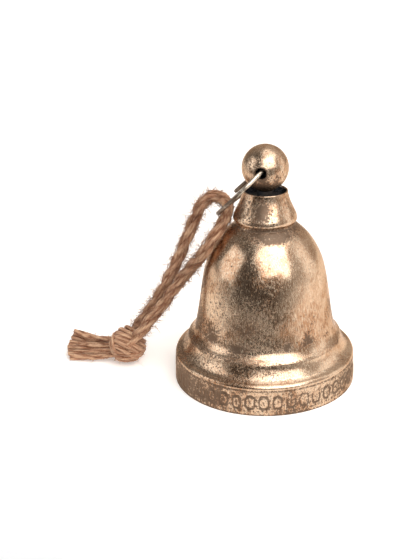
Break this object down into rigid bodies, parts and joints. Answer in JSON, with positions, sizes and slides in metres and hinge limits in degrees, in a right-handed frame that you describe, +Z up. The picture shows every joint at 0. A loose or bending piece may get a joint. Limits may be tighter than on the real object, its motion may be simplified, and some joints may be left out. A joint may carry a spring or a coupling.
{
  "type": "hanging bell",
  "caption": "Spun sheet hanging bell with a neck collar, ball finial, split ring, knotted jute loop and swinging clapper.",
  "frame": {"origin": "centre of the mouth, on the surface that the bell stands on", "axes": "+Z up along the bell's axis, +Y along the ball's cross hole and away from the viewer, the rope loop lies towards -X"},
  "size_m": [0.1467, 0.09, 0.1183],
  "materials": {
    "antique_brass": "antiqued, brushed and worn",
    "inner_metal": "dull, darkened",
    "zinc_steel": "zinc plated",
    "ring_wire": "tarnished nickel",
    "jute": "three-ply natural jute, hairy"
  },
  "bodies": {
    "bell": {"bell_shell": "antique_brass", "neck_collar": "antique_brass", "crown_plate": "inner_metal"},
    "hanger": {"hanger_ball": "antique_brass", "eye_bolt": "zinc_steel", "top_washer": "inner_metal", "top_nut": "inner_metal", "bottom_washer": "zinc_steel", "bottom_nut": "zinc_steel"},
    "ring": {"split_ring": "ring_wire", "rope_loop": "jute", "rope_knot": "jute", "rope_end_back": "jute", "rope_end_front": "jute"},
    "clapper": {"clapper_rod": "zinc_steel", "clapper_ball": "antique_brass", "clapper_nut": "zinc_steel"}
  },
  "joints": [
    {"name": "hanger_swivel", "type": "hinge", "parent": "bell", "child": "hanger", "pos_m": [0, 0, 0.0918], "axis": [0, 0, 1], "continuous": true},
    {"name": "ring_swing", "type": "hinge", "parent": "hanger", "child": "ring", "pos_m": [0, 0, 0.1072], "axis": [0, 1, 0], "range_deg": [0, 260]},
    {"name": "clapper_swing", "type": "hinge", "parent": "hanger", "child": "clapper", "pos_m": [0, 0, 0.079], "axis": [1, 0, 0], "range_deg": [-26, 26]}
  ]
}
